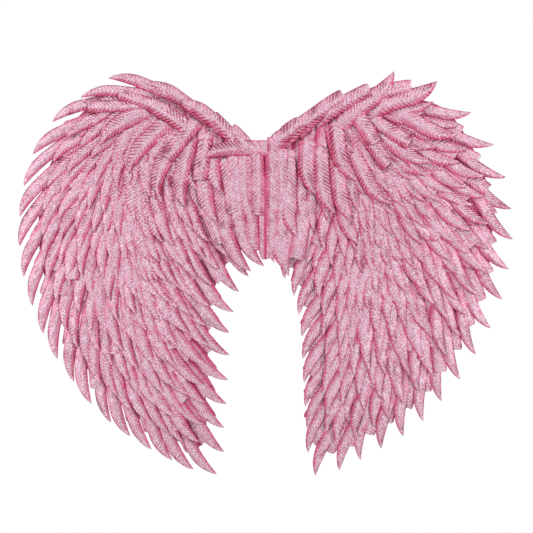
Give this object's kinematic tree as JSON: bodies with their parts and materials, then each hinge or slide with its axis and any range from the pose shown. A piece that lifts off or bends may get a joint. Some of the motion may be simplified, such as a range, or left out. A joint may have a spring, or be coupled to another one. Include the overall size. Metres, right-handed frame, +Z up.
{
  "type": "costume wings",
  "caption": "Pair of costume feather wings in metallic pink fabric, hinged on a soft centre spine with elastic shoulder loops.",
  "frame": {"origin": "middle of the spine pad's face that lies on the wearer's back", "axes": "+X towards the right wing as seen from behind the wearer, +Y towards the wearer, +Z up"},
  "size_m": [0.641, 0.1548, 0.5258],
  "materials": {
    "feather_foil": "metallic pink foil on nonwoven fabric, embossed herringbone, satin",
    "backing_fabric": "pink nonwoven fabric, matt",
    "felt": "pale pink felt, matt",
    "board": "matt",
    "elastic": "woven elastic, matt",
    "wire": "drawn wire, satin",
    "ferrule": "satin"
  },
  "bodies": {
    "spine": {"spine_pad": "felt", "spine_board": "board", "hinge_panel": "backing_fabric", "seam_cover": "backing_fabric", "seam_feathers": "feather_foil", "left_strap_ends": "elastic", "right_strap_ends": "elastic"},
    "wing_left": {"left_wire_frame": "wire", "left_wire_ferrule": "ferrule", "left_back_cover": "felt", "left_base_panel": "backing_fabric", "left_arch_feathers": "feather_foil", "left_feather_row_1": "feather_foil", "left_feather_row_2": "feather_foil", "left_feather_row_3": "feather_foil", "left_feather_row_4": "feather_foil", "left_feather_row_5": "feather_foil", "left_feather_row_6": "feather_foil", "left_feather_row_7": "feather_foil", "left_feather_row_8": "feather_foil", "left_feather_row_9": "feather_foil", "left_feather_row_10": "feather_foil"},
    "wing_right": {"right_wire_frame": "wire", "right_wire_ferrule": "ferrule", "right_back_cover": "felt", "right_base_panel": "backing_fabric", "right_arch_feathers": "feather_foil", "right_feather_row_1": "feather_foil", "right_feather_row_2": "feather_foil", "right_feather_row_3": "feather_foil", "right_feather_row_4": "feather_foil", "right_feather_row_5": "feather_foil", "right_feather_row_6": "feather_foil", "right_feather_row_7": "feather_foil", "right_feather_row_8": "feather_foil", "right_feather_row_9": "feather_foil", "right_feather_row_10": "feather_foil"},
    "strap_left": {"left_strap": "elastic"},
    "strap_right": {"right_strap": "elastic"}
  },
  "joints": [
    {"name": "left_wing_fold", "type": "hinge", "parent": "spine", "child": "wing_left", "pos_m": [-0.01, -0.008, 0], "axis": [0, 0, 1], "range_deg": [-15, 60]},
    {"name": "right_wing_fold", "type": "hinge", "parent": "spine", "child": "wing_right", "pos_m": [0.01, -0.008, 0], "axis": [0, 0, -1], "range_deg": [-15, 60]},
    {"name": "left_strap_swing", "type": "hinge", "parent": "spine", "child": "strap_left", "pos_m": [-0.007, 0.001, 0], "axis": [0, 0, 1], "range_deg": [-20, 20]},
    {"name": "right_strap_swing", "type": "hinge", "parent": "spine", "child": "strap_right", "pos_m": [0.007, 0.001, 0], "axis": [0, 0, -1], "range_deg": [-20, 20]}
  ]
}
